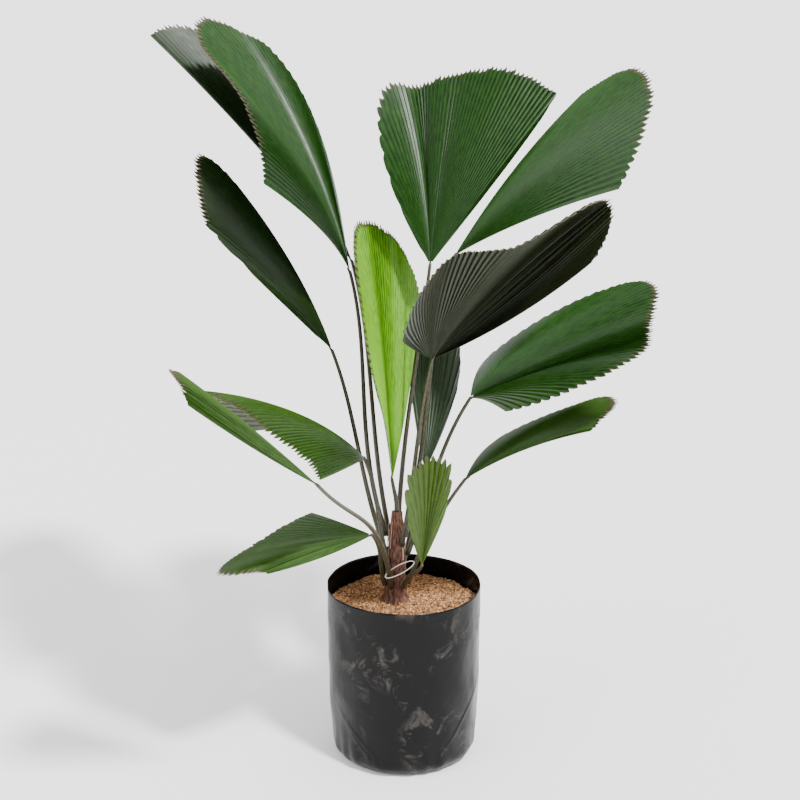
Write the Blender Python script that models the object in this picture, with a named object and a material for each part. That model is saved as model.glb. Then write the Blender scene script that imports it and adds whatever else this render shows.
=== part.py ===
"""A young fan palm in a black film nursery bag.

The bag stands on its flat underside, which is the origin. A short fibrous trunk
rises out of the growing medium. Each leaf is one tapering petiole and one blade.
A blade is a fan of ribs that spread from the hub at the petiole's tip. A few guide
ribs, from the blade's left edge to its right as seen from its upper side, give its
attitude and length, and the folds between them are worked out here.
"""
import math

import bpy
import numpy as np

# Bag and growing medium, in metres
BAG_RADIUS = 0.113
BAG_HEIGHT = 0.267
BAG_FOOT_RADIUS = 0.107
BAG_CORNER = 0.022
BAG_WALL = 0.0015
MEDIUM_TOP = 0.240
MEDIUM_EDGE = 0.233
MEDIUM_FLAT_RADIUS = 0.040
FIT_GAP = 0.0003

# Trunk: height above the medium and radius there
TRUNK_FOOT = (-0.012, 0.006)
TRUNK_HEAD = (-0.010, 0.004)
TRUNK_PROFILE = [(0.0, 0.021), (0.008, 0.0165), (0.025, 0.0145), (0.070, 0.0130),
                 (0.115, 0.0100), (0.140, 0.0075)]

# Petioles
PETIOLE_FOOT_RADIUS = 0.0038
PETIOLE_TIP_RADIUS = 0.0024
PETIOLE_POINT_RADIUS = 0.0010
PETIOLE_TUCK = 0.0002
PETIOLE_SIDES = 8
PETIOLE_STEPS = 12

# Blades
HUB_RADIUS = 0.006
THICKNESS_RATIO = 0.0105
PLEAT_RATIO = 0.18
TOOTH_DEPTH = 0.008
SEGMENT_WIDTH = 0.019
RIB_STATIONS = (0.0, 0.33, 0.68, 1.0)
SHORTEST_RIB = 0.02

# Each leaf: its hub, its guide ribs as (azimuth, rise, length) with azimuth in degrees
# from +Y towards +X, its arch as a part of the rib's length, the share of its width that
# each side takes to round off, and where its petiole leaves the trunk as (azimuth, height)
LEAVES = {
    "leaf_back_left_low": dict(
        hub=(-0.075, 0.100, 0.730), ribs=[(-87, 49, 0.43), (-48, 45, 0.43), (-27, 37, 0.39)],
        arch=0.02, rounding=(0, 0), leaves_trunk=(-40, 0.095)),
    "leaf_left_high": dict(
        hub=(-0.076, 0.020, 0.736),
        ribs=[(-158, 34, 0.33), (-148, 49, 0.37), (-112, 58, 0.41), (-39, 51, 0.40), (-12, 48, 0.36)],
        arch=0.05, rounding=(0, 0.22), leaves_trunk=(-80, 0.100)),
    "leaf_back_centre": dict(
        hub=(0.038, 0.100, 0.725),
        ribs=[(-136, 55, 0.27), (-13, 55, 0.29), (12, 53, 0.315), (37, 52, 0.33), (58, 44, 0.32)],
        arch=0.03, rounding=(0.22, 0.03), leaves_trunk=(8, 0.105)),
    "leaf_back_right": dict(
        hub=(0.075, 0.120, 0.735), ribs=[(44, 35, 0.34), (87, 44, 0.38), (134, 26, 0.33)],
        arch=0.03, rounding=(0, 0), leaves_trunk=(52, 0.095)),
    "leaf_young_centre": dict(
        hub=(-0.017, 0.000, 0.430),
        ribs=[(-175, 45, 0.25), (-156, 70, 0.32), (-29, 75, 0.38), (1, 67, 0.36), (9, 36, 0.33)],
        arch=0.015, rounding=(0, 0), leaves_trunk=None),
    "leaf_front_right": dict(
        hub=(0.039, -0.090, 0.642),
        ribs=[(128, 35, 0.31), (105, 45, 0.34), (154, 42, 0.33), (177, 41, 0.31), (-171, 22, 0.28)],
        arch=0.03, rounding=(0, 0), leaves_trunk=(150, 0.090)),
    "leaf_right": dict(
        hub=(0.095, 0.000, 0.555),
        ribs=[(10, 3, 0.16), (69, 30, 0.30), (108, 29, 0.30), (120, 22, 0.28), (163, 11, 0.15)],
        arch=0.04, rounding=(0, 0), leaves_trunk=(88, 0.070)),
    "leaf_right_low": dict(
        hub=(0.089, 0.000, 0.431), ribs=[(17, -2, 0.20), (77, 26, 0.25), (118, 29, 0.22)],
        arch=0.04, rounding=(0, 0), leaves_trunk=(98, 0.026)),
    "leaf_back_low": dict(
        hub=(0.032, 0.100, 0.408), ribs=[(-12, 42, 0.22), (6, 47, 0.25), (27, 33, 0.22)],
        arch=0.03, rounding=(0.15, 0.3), leaves_trunk=(28, 0.030)),
    "leaf_front_small": dict(
        hub=(0.026, -0.050, 0.316), ribs=[(-151, 59, 0.15), (150, 83, 0.18), (119, 65, 0.16)],
        arch=0.03, rounding=(0.25, 0.25), leaves_trunk=(140, 0.024)),
    "leaf_left": dict(
        hub=(-0.101, -0.020, 0.632), ribs=[(-134, 44, 0.30), (-112, 55, 0.34), (-39, 46, 0.32)],
        arch=0.04, rounding=(0.1, 0.35), leaves_trunk=(-108, 0.078)),
    "leaf_left_arched": dict(
        hub=(-0.057, -0.040, 0.479),
        ribs=[(-164, 11, 0.20), (-150, 24, 0.25), (-117, 29, 0.27), (-49, -4, 0.24)],
        arch=0.08, rounding=(0, 0), leaves_trunk=(-138, 0.060)),
    "leaf_left_narrow": dict(
        hub=(-0.112, -0.310, 0.541), ribs=[(-118, 38, 0.222), (-116, 43, 0.265), (-62, 29, 0.195)],
        arch=0.015, rounding=(0, 0), leaves_trunk=(-160, 0.024)),
    "leaf_left_low": dict(
        hub=(-0.046, -0.030, 0.356),
        ribs=[(-131, -2, 0.19), (-122, -3, 0.22), (-80, -16, 0.235), (-59, -13, 0.20), (-41, -3, 0.14)],
        arch=0.03, rounding=(0, 0), leaves_trunk=(-118, 0.026)),
}

COLOURS = {
    "bag": ((0.012, 0.012, 0.014), 0.35),
    "growing_medium": ((0.36, 0.19, 0.08), 0.95),
    "trunk": ((0.10, 0.045, 0.03), 0.85),
    "petiole": ((0.045, 0.035, 0.015), 0.55),
    "blade": ((0.04, 0.12, 0.02), 0.4),
}


def clear_scene():
    for old in list(bpy.data.objects):
        bpy.data.objects.remove(old, do_unlink=True)


def material(name, key):
    colour, roughness = COLOURS[key]
    made = bpy.data.materials.new(name)
    made.use_nodes = True
    shader = made.node_tree.nodes["Principled BSDF"]
    shader.inputs["Base Color"].default_value = (*colour, 1.0)
    shader.inputs["Roughness"].default_value = roughness
    return made


def add_object(name, vertices, faces, key, smooth=False):
    mesh = bpy.data.meshes.new(name)
    mesh.from_pydata([tuple(map(float, v)) for v in vertices], [], faces)
    mesh.validate()
    if smooth:
        mesh.shade_smooth()
        mesh.set_sharp_from_angle(angle=math.radians(35))
    made = bpy.data.objects.new(name, mesh)
    made.data.materials.append(material(name, key))
    bpy.context.scene.collection.objects.link(made)
    return made


def turned(profile, sides, centre=(0.0, 0.0)):
    """Closed body of revolution: the profile runs from the axis round and back to it."""
    vertices = [(centre[0], centre[1], profile[0][1])]
    rings = profile[1:-1]
    for radius, height in rings:
        for k in range(sides):
            angle = 2 * math.pi * k / sides
            vertices.append((centre[0] + radius * math.cos(angle),
                             centre[1] + radius * math.sin(angle), height))
    vertices.append((centre[0], centre[1], profile[-1][1]))
    last = len(vertices) - 1
    faces = []
    for k in range(sides):
        j = (k + 1) % sides
        faces.append((0, 1 + j, 1 + k))
        for ring in range(len(rings) - 1):
            low = 1 + ring * sides
            high = low + sides
            faces.append((low + k, low + j, high + j, high + k))
        top = 1 + (len(rings) - 1) * sides
        faces.append((top + k, top + j, last))
    return vertices, faces


def bag_outline(inset):
    """Half section of the bag, from its underside's centre to the rim."""
    foot = BAG_FOOT_RADIUS - BAG_CORNER
    outline = [(0.0, inset), (foot, inset)]
    for step in (1, 2, 3):
        angle = math.radians(30 * step)
        corner = BAG_CORNER - inset
        outline.append((foot + corner * math.sin(angle), BAG_CORNER - corner * math.cos(angle)))
    outline.append((0.5 * (BAG_FOOT_RADIUS + BAG_RADIUS) + 0.0015 - inset, 0.11))
    outline.append((BAG_RADIUS - inset, 0.21))
    outline.append((BAG_RADIUS - inset, BAG_HEIGHT))
    return outline


def make_bag():
    outer = bag_outline(0.0)
    inner = bag_outline(BAG_WALL)
    vertices, faces = turned(outer + inner[::-1], 48)
    add_object("bag", vertices, faces, "bag", smooth=True)


def make_medium():
    inner = bag_outline(BAG_WALL + FIT_GAP)[:-1]
    wall = BAG_RADIUS - BAG_WALL - FIT_GAP
    top = [(wall, MEDIUM_EDGE), (MEDIUM_FLAT_RADIUS, MEDIUM_TOP), (0.0, MEDIUM_TOP)]
    vertices, faces = turned(inner + top, 48)
    add_object("growing_medium", vertices, faces, "growing_medium", smooth=True)


def trunk_centre(height):
    share = height / TRUNK_PROFILE[-1][0]
    return tuple(a + share * (b - a) for a, b in zip(TRUNK_FOOT, TRUNK_HEAD))


def trunk_radius(height):
    heights, radii = zip(*TRUNK_PROFILE)
    return float(np.interp(height, heights, radii))


def make_trunk():
    sides = 20
    foot = MEDIUM_TOP + FIT_GAP
    vertices = []
    for height, radius in TRUNK_PROFILE:
        cx, cy = trunk_centre(height)
        for k in range(sides):
            angle = 2 * math.pi * k / sides
            vertices.append((cx + radius * math.cos(angle), cy + radius * math.sin(angle),
                             foot + height))
    faces = [tuple(reversed(range(sides)))]
    for ring in range(len(TRUNK_PROFILE) - 1):
        for k in range(sides):
            j = (k + 1) % sides
            low = ring * sides
            faces.append((low + k, low + j, low + sides + j, low + sides + k))
    top = (len(TRUNK_PROFILE) - 1) * sides
    faces.append(tuple(range(top, top + sides)))
    add_object("trunk", vertices, faces, "trunk", smooth=True)


def unit(vectors):
    return vectors / np.linalg.norm(vectors, axis=-1, keepdims=True)


def direction(azimuth, rise):
    azimuth = np.radians(azimuth)
    rise = np.radians(rise)
    return np.stack([np.cos(rise) * np.sin(azimuth), np.cos(rise) * np.cos(azimuth),
                     np.sin(rise)], -1)


def through(knots, t):
    """Smooth curve through evenly spaced knots: a parabola for three, a spline for more."""
    knots = np.asarray(knots, float)
    t = np.asarray(t, float)
    count = len(knots) - 1
    wide = t.shape + (1,) * (knots.ndim - 1)
    if count == 2:
        u = t.reshape(wide)
        return (knots[0] * (1 - u) * (1 - 2 * u) + knots[1] * 4 * u * (1 - u)
                + knots[2] * u * (2 * u - 1))
    before = 3 * knots[0] - 3 * knots[1] + knots[2]
    after = 3 * knots[-1] - 3 * knots[-2] + knots[-3]
    ext = np.concatenate([[before], knots, [after]])
    x = np.clip(t * count, 0, count)
    i = np.minimum(x.astype(int), count - 1)
    f = (x - i).reshape(wide)
    start, end = ext[i + 1], ext[i + 2]
    leave, arrive = (ext[i + 2] - ext[i]) / 2, (ext[i + 3] - ext[i + 1]) / 2
    return ((2 * f**3 - 3 * f**2 + 1) * start + (f**3 - 2 * f**2 + f) * leave
            + (3 * f**2 - 2 * f**3) * end + (f**3 - f**2) * arrive)


def quarter_round(x):
    return np.sqrt(np.clip(1 - (1 - np.clip(x, 0, 1))**2, SHORTEST_RIB, 1))


def rib_fan(leaf, t):
    """Direction, upward normal and length of the rib at t, from 0 at the left edge to 1."""
    ribs = np.array(leaf["ribs"], float)
    guides = direction(ribs[:, 0], ribs[:, 1])
    step = 1e-3
    along = unit(through(guides, t))
    turn = unit(through(guides, np.clip(t + step, 0, 1))) - unit(through(guides, np.clip(t - step, 0, 1)))
    normal = unit(np.cross(turn, along))
    length = through(ribs[:, 2], t)
    left, right = leaf["rounding"]
    if left:
        length = length * quarter_round(t / left)
    if right:
        length = length * quarter_round((1 - t) / right)
    return along, normal, length


def fan_angle(leaf):
    along, _, _ = rib_fan(leaf, np.linspace(0, 1, 81))
    return float(np.linalg.norm(np.diff(along, axis=0), axis=1).sum())


def make_blade(name, leaf):
    longest = max(rib[2] for rib in leaf["ribs"])
    angle = fan_angle(leaf)
    segments = max(9, round(angle * longest / SEGMENT_WIDTH))
    lines = 2 * segments + 1
    t = np.linspace(0, 1, lines)
    along, normal, length = rib_fan(leaf, t)
    # Even lines are the joints between two segments, odd lines their midribs.
    joint = (np.arange(lines) % 2 == 0)
    side = np.minimum(t, 1 - t)
    depth = TOOTH_DEPTH * np.clip(side * 8, 0, 1)
    reach = length - np.where(joint, depth, 0.0)
    fold = np.where(joint, 1.0, -1.0)
    fold[0] = fold[-1] = 0.0
    half = 0.5 * THICKNESS_RATIO * longest
    hub = np.array(leaf["hub"])
    upper, lower = [], []
    for station in RIB_STATIONS:
        radius = HUB_RADIUS + station * (reach - HUB_RADIUS)
        share = (radius / length)[:, None]
        bow = length[:, None] * leaf["arch"] * 4 * share * (1 - share)
        ridge = (fold * PLEAT_RATIO * radius * angle / (lines - 1))[:, None]
        middle = hub + radius[:, None] * along + (bow + ridge) * normal
        upper.append(middle + half * normal)
        lower.append(middle - half * normal)
    rows = len(RIB_STATIONS)
    vertices = np.concatenate([np.concatenate(upper), np.concatenate(lower)])
    under = rows * lines

    def at(row, line, base=0):
        return base + row * lines + line

    faces = []
    for row in range(rows - 1):
        for line in range(lines - 1):
            a, b = at(row, line), at(row, line + 1)
            c, d = at(row + 1, line + 1), at(row + 1, line)
            faces += [(a, b, c), (a, c, d)]
            faces += [(under + a, under + c, under + b), (under + a, under + d, under + c)]
    rim = [at(0, line) for line in range(lines)]
    rim += [at(row, lines - 1) for row in range(1, rows)]
    rim += [at(rows - 1, line) for line in range(lines - 2, -1, -1)]
    rim += [at(row, 0) for row in range(rows - 2, 0, -1)]
    for a, b in zip(rim, rim[1:] + rim[:1]):
        faces += [(b, a, under + a), (b, under + a, under + b)]
    add_object(name, vertices, faces, "blade")


def petiole_path(leaf):
    """Centre line from the trunk's side, or its head, to the hub."""
    along, _, _ = rib_fan(leaf, np.array([0.5]))
    hub = np.array(leaf["hub"])
    foot_level = MEDIUM_TOP + FIT_GAP
    if leaf["leaves_trunk"] is None:
        height = TRUNK_PROFILE[-1][0]
        start = np.array([*trunk_centre(height), foot_level + height + FIT_GAP])
        leave = np.array([0.0, 0.0, 1.0])
    else:
        azimuth, height = leaf["leaves_trunk"]
        outward = direction(azimuth, 0)
        cx, cy = trunk_centre(height)
        stand_off = trunk_radius(height) + PETIOLE_FOOT_RADIUS - PETIOLE_TUCK
        start = np.array([cx, cy, foot_level + height]) + stand_off * outward
        leave = unit(outward * 0.35 + np.array([0.0, 0.0, 1.0]))
    span = np.linalg.norm(hub - start)
    arrive = unit(unit(hub - start) + 0.4 * along[0])
    first = start + 0.38 * span * leave
    second = hub - 0.33 * span * arrive
    u = np.linspace(0, 1, PETIOLE_STEPS + 1)[:, None]
    path = ((1 - u)**3 * start + 3 * u * (1 - u)**2 * first + 3 * u**2 * (1 - u) * second + u**3 * hub)
    point = hub + along[0] * (HUB_RADIUS - FIT_GAP)
    return np.concatenate([path, [point]])


def make_petiole(name, leaf):
    path = petiole_path(leaf)
    count = len(path)
    radii = np.linspace(PETIOLE_FOOT_RADIUS, PETIOLE_TIP_RADIUS, count - 1)
    radii = np.append(radii, PETIOLE_POINT_RADIUS)
    tangent = unit(np.gradient(path, axis=0))
    side = unit(np.cross(tangent[0], [0.3, 0.9, 0.1]))
    vertices = []
    for centre, forward, radius in zip(path, tangent, radii):
        side = unit(side - forward * np.dot(side, forward))
        other = np.cross(forward, side)
        for k in range(PETIOLE_SIDES):
            angle = 2 * math.pi * k / PETIOLE_SIDES
            vertices.append(centre + radius * (side * math.cos(angle) + other * math.sin(angle)))
    faces = [tuple(reversed(range(PETIOLE_SIDES)))]
    for ring in range(count - 1):
        for k in range(PETIOLE_SIDES):
            j = (k + 1) % PETIOLE_SIDES
            low = ring * PETIOLE_SIDES
            faces.append((low + k, low + j, low + PETIOLE_SIDES + j, low + PETIOLE_SIDES + k))
    top = (count - 1) * PETIOLE_SIDES
    faces.append(tuple(range(top, top + PETIOLE_SIDES)))
    add_object(name, vertices, faces, "petiole", smooth=True)


def main():
    clear_scene()
    make_bag()
    make_medium()
    make_trunk()
    for name, leaf in LEAVES.items():
        make_petiole(name.replace("leaf", "petiole"), leaf)
        make_blade(name.replace("leaf", "blade"), leaf)


main()
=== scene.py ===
# %% [markdown]
# # A young fan palm in a film nursery bag
# The plant is a handful of round, pleated leaves on thin stalks. Each leaf is a fan: stiff ribs
# spread from one point, the hub, and the green blade between them is folded like paper. The frame
# that is loaded here fixes where the bag, the trunk, the stalks and the blades are, and this
# lesson gives each of them the surface that the eye expects. All lengths are in metres.

# %% Load the frame
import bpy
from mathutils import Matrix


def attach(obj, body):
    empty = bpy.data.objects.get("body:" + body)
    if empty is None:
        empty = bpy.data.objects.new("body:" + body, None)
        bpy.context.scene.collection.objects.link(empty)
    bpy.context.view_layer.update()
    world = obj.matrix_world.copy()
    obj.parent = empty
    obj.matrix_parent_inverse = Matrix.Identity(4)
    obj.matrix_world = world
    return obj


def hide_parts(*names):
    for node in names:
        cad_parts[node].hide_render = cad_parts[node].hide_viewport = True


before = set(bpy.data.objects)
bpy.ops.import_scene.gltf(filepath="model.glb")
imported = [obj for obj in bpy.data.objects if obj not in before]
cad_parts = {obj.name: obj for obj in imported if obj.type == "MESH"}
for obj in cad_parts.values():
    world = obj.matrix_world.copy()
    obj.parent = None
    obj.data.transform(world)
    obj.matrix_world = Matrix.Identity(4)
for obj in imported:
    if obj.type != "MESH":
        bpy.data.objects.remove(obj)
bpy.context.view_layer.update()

# %% Modules
import math

import bpy
import numpy as np

# %% [markdown]
# ## Putting a grid of points into a mesh
# Nearly every piece is a surface with two parameters, sampled on a grid. Some of them could be
# made with Blender's own primitives and modifiers, but a grid keeps the formula in sight, and
# the same helpers serve a leaf, a stalk and a bag. They turn the grid into quads, can close it
# round one way, as on a tube, and store one UV coordinate for each point, so that a pattern can
# follow the surface. A mark is one more number for each point, which a finish can read.

# %% A grid becomes a mesh


def grid_quads(rows, columns, wrap=False):
    """Corner numbers of the quads between neighbouring rows and columns of a grid."""
    r, c = np.meshgrid(np.arange(rows - 1), np.arange(columns if wrap else columns - 1), indexing="ij")
    n = (c + 1) % columns
    quads = np.stack([r * columns + c, r * columns + n, (r + 1) * columns + n, (r + 1) * columns + c], -1)
    return quads.reshape(-1, 4)


def capped_rings(rows, sides):
    """Quads between rings of points, with one flat cap on the first ring and one on the last."""
    faces = [list(quad) for quad in grid_quads(rows, sides, wrap=True)]
    faces.append(list(range(sides - 1, -1, -1)))
    faces.append(list(range((rows - 1) * sides, rows * sides)))
    return faces


def mesh_piece(name, points, faces, uv=None, smooth=True, marks=None):
    """A mesh object at the origin from an array of points and a list of faces."""
    mesh = bpy.data.meshes.new(name)
    mesh.from_pydata(np.asarray(points, float).tolist(), [], [list(map(int, f)) for f in faces])
    if uv is not None:
        corner = np.empty(len(mesh.loops), dtype=np.int32)
        mesh.loops.foreach_get("vertex_index", corner)
        layer = mesh.uv_layers.new(name="UVMap")
        layer.data.foreach_set("uv", np.asarray(uv, np.float32)[corner].ravel())
    for mark, values in (marks or {}).items():
        attribute = mesh.attributes.new(mark, "FLOAT", "POINT")
        attribute.data.foreach_set("value", np.asarray(values, np.float32))
    mesh.update()
    if smooth:
        mesh.shade_smooth()
    piece = bpy.data.objects.new(name, mesh)
    bpy.context.scene.collection.objects.link(piece)
    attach(piece, "root")
    return piece


print("mesh helpers ready")

# %% [markdown]
# ## Finishes: what they share
# Streaks that run along the ribs, and a fine mottling, appear on every leaf, on the stalks and
# on the trunk. They could be wired again in each material, but a node group is built once and
# placed in each with its own values. The streaks are noise on the UV coordinates, stretched
# along V. The mottling is noise in the object's own space.

# %% Streak and mottle group
UV_LENGTH = 0.05
MOTTLE_SCALE = 38.0


def streak_group():
    """Noise of (U * Across, V * Along), and plain noise of the place, as two outputs."""
    group = bpy.data.node_groups.new("Rib streaks", "ShaderNodeTree")
    for label in ("Across", "Along"):
        group.interface.new_socket(name=label, in_out="INPUT", socket_type="NodeSocketFloat")
    for label in ("Streak", "Mottle"):
        group.interface.new_socket(name=label, in_out="OUTPUT", socket_type="NodeSocketFloat")
    given = group.nodes.new("NodeGroupInput")
    result = group.nodes.new("NodeGroupOutput")
    place = group.nodes.new("ShaderNodeTexCoord")
    scale = group.nodes.new("ShaderNodeCombineXYZ")
    stretch = group.nodes.new("ShaderNodeVectorMath")
    stretch.operation = "MULTIPLY"
    streak = group.nodes.new("ShaderNodeTexNoise")
    streak.inputs["Scale"].default_value = 1.0
    streak.inputs["Detail"].default_value = 4.0
    mottle = group.nodes.new("ShaderNodeTexNoise")
    mottle.inputs["Scale"].default_value = MOTTLE_SCALE
    mottle.inputs["Detail"].default_value = 3.0
    link = group.links.new
    link(given.outputs["Across"], scale.inputs["X"])
    link(given.outputs["Along"], scale.inputs["Y"])
    link(place.outputs["UV"], stretch.inputs[0])
    link(scale.outputs["Vector"], stretch.inputs[1])
    link(stretch.outputs["Vector"], streak.inputs["Vector"])
    link(place.outputs["Object"], mottle.inputs["Vector"])
    link(streak.outputs["Fac"], result.inputs["Streak"])
    link(mottle.outputs["Fac"], result.inputs["Mottle"])
    return group


RIB_STREAKS = streak_group()
print("group made:", RIB_STREAKS.name)

# %% Small helpers for shader nodes
PLAIN_SPECULAR = 0.5


def new_material(name, roughness, specular=PLAIN_SPECULAR):
    """A material with its node tree and its Principled shader."""
    made = bpy.data.materials.new(name)
    made.use_nodes = True
    shader = made.node_tree.nodes["Principled BSDF"]
    shader.inputs["Roughness"].default_value = roughness
    shader.inputs["Specular IOR Level"].default_value = specular
    return made, made.node_tree, shader


def mix_colour(tree, fac, first, second):
    """A colour between two colours or sockets, by a mask."""
    mix = tree.nodes.new("ShaderNodeMix")
    mix.data_type = "RGBA"
    for socket, value in ((mix.inputs["A"], first), (mix.inputs["B"], second)):
        if isinstance(value, tuple):
            socket.default_value = (*value, 1.0)
        else:
            tree.links.new(value, socket)
    tree.links.new(fac, mix.inputs["Factor"])
    return mix.outputs["Result"]


def ramp(tree, fac, low, high, first=0.0, last=1.0):
    """A value that goes from first, where fac is low, to last, where it is high."""
    node = tree.nodes.new("ShaderNodeMapRange")
    node.inputs["From Min"].default_value = low
    node.inputs["From Max"].default_value = high
    node.inputs["To Min"].default_value = first
    node.inputs["To Max"].default_value = last
    tree.links.new(fac, node.inputs["Value"])
    return node.outputs["Result"]


def marked(tree, name):
    """The number that each point of the piece carries under a name."""
    node = tree.nodes.new("ShaderNodeAttribute")
    node.attribute_name = name
    return node.outputs["Fac"]


def streaks(tree, across, along):
    """The outputs of the shared streak group, with its own stretch."""
    node = tree.nodes.new("ShaderNodeGroup")
    node.node_tree = RIB_STREAKS
    node.inputs["Across"].default_value = across
    node.inputs["Along"].default_value = along
    return node.outputs


def add_bump(tree, shader, height, strength, distance):
    """Small relief from a height socket, in the shading only."""
    bump = tree.nodes.new("ShaderNodeBump")
    bump.inputs["Strength"].default_value = strength
    bump.inputs["Distance"].default_value = distance
    tree.links.new(height, bump.inputs["Height"])
    tree.links.new(bump.outputs["Normal"], shader.inputs["Normal"])


def brighter(colour, gain):
    """A colour times a gain."""
    return tuple(gain * channel for channel in colour)


print("shader helpers ready")

# %% [markdown]
# ## Leaf finishes
# A palm leaf is deep green and glossy above, duller and browner below, and its teeth dry to a
# grey-brown. The lower colours are also darker than the upper ones, as painted shade on the
# undersides. A painted image could show that, but the mesh knows more: it marks which side each
# point is on, how far it is from the margin, and whether it is on a crest or in a valley of the
# folds. The shader mixes its colours by these marks, and it lightens the crests as a painted
# highlight and darkens the valleys as painted shade. Young leaves are a bright yellow-green, and
# the young leaf is brightened further as painted light shining through it from behind. The
# shaded finish is a darker copy of the green, painted shade for leaves in the shadow of others.

# %% Leaf materials
LEAF_SPECULAR = 0.30
LEAF_STREAKS = dict(across=2.3, along=3.0)
LEAF_GRAIN = dict(across=9.0, along=1.0)
STREAK_RANGE = (0.38, 0.66)
MOTTLE_RANGE = (0.3, 0.75)
# The crest range and gain paint a highlight on the fold crests; the valley range and gain paint shade in
# the fold valleys.
CREST_HIGHLIGHT_RANGE = (0.55, 1.0)
CREST_HIGHLIGHT_GAIN = 1.5
VALLEY_SHADE_RANGE = (-0.35, -1.0)
VALLEY_SHADE_GAIN = 0.45
UNDER_GAIN = 1.35
DRY_RANGE = (0.0035, 0.0005)
DRY_TOOTH = (0.075, 0.06, 0.03)
SMOOTHER = 0.08
ROUGHER = 0.12


def leaf_material(name, upper, light, lower, roughness):
    """Upper and lower colours with rib streaks, a painted highlight on crests, painted shade in valleys and
    dry teeth.
    """
    made, tree, shader = new_material(name, roughness, LEAF_SPECULAR)
    pattern = streaks(tree, **LEAF_STREAKS)
    top = mix_colour(tree, ramp(tree, pattern["Streak"], *STREAK_RANGE), upper, light)
    # Painted highlight: the crests of the folds are lightened.
    crest = ramp(tree, marked(tree, "crest"), *CREST_HIGHLIGHT_RANGE)
    top = mix_colour(tree, crest, top, brighter(light, CREST_HIGHLIGHT_GAIN))
    # Painted shade: the valleys of the folds are darkened.
    valley_shade = ramp(tree, marked(tree, "crest"), *VALLEY_SHADE_RANGE)
    top = mix_colour(tree, valley_shade, top, brighter(upper, VALLEY_SHADE_GAIN))
    mottle = ramp(tree, pattern["Mottle"], *MOTTLE_RANGE)
    # The lower colours are the underside's duller brown, darkened further as painted shade under the leaf.
    under = mix_colour(tree, mottle, lower, brighter(lower, UNDER_GAIN))
    colour = mix_colour(tree, marked(tree, "under"), top, under)
    dry = ramp(tree, marked(tree, "edge"), *DRY_RANGE)
    tree.links.new(mix_colour(tree, dry, colour, DRY_TOOTH), shader.inputs["Base Color"])
    gloss = ramp(tree, pattern["Streak"], 0.0, 1.0, roughness - SMOOTHER, roughness + ROUGHER)
    tree.links.new(gloss, shader.inputs["Roughness"])
    add_bump(tree, shader, streaks(tree, **LEAF_GRAIN)["Streak"], strength=0.35, distance=0.0006)
    return made


# Each finish: upper, light and lower colours and roughness; the lower colours carry painted shade as well
# as the underside's own brown.
DEEP = leaf_material("deep green leaf", (0.005, 0.027, 0.002), (0.013, 0.052, 0.004),
                     (0.012, 0.020, 0.005), 0.34)
# A darker copy of the deep green: painted shade for leaves that lie in the shadow of other leaves.
SHADED = leaf_material("painted shade leaf", (0.004, 0.014, 0.001), (0.009, 0.028, 0.002),
                       (0.008, 0.012, 0.002), 0.42)
MIDDLE = leaf_material("mid green leaf", (0.014, 0.046, 0.002), (0.028, 0.075, 0.004),
                       (0.018, 0.026, 0.006), 0.40)
OLIVE = leaf_material("olive leaf", (0.024, 0.055, 0.002), (0.045, 0.085, 0.004),
                      (0.020, 0.028, 0.005), 0.42)
# Partly the young leaf's own yellow-green, partly painted light: it is brightened for the sun that shines
# through it from behind.
YOUNG_WITH_PAINTED_BACKLIGHT = leaf_material("young leaf", (0.060, 0.190, 0.004), (0.140, 0.330, 0.010),
                      (0.060, 0.110, 0.006), 0.38)
print("leaf finishes:", [made.name for made in (DEEP, SHADED, MIDDLE, OLIVE, YOUNG_WITH_PAINTED_BACKLIGHT)])

# %% [markdown]
# ## The rule of a fan leaf
# A few guide ribs are joined by a smooth curve on the sphere of directions, and every other rib
# lies on that curve. Sculpting each leaf by hand would take longer, and it would fit its
# neighbours less well: with guide ribs, a leaf is a dozen numbers that can be read off a
# photograph and corrected one at a time.
#
# A guide rib is (azimuth in degrees from +Y towards +X, rise in degrees, length). The hub is
# where the ribs meet. The arch is the bow of a rib as a part of its length. The rounding is the
# share of the fan, at its left and right, over which the ribs shorten to a rounded margin. The
# stalk leaves the trunk at (azimuth, height above the medium), or from its head.

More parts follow.
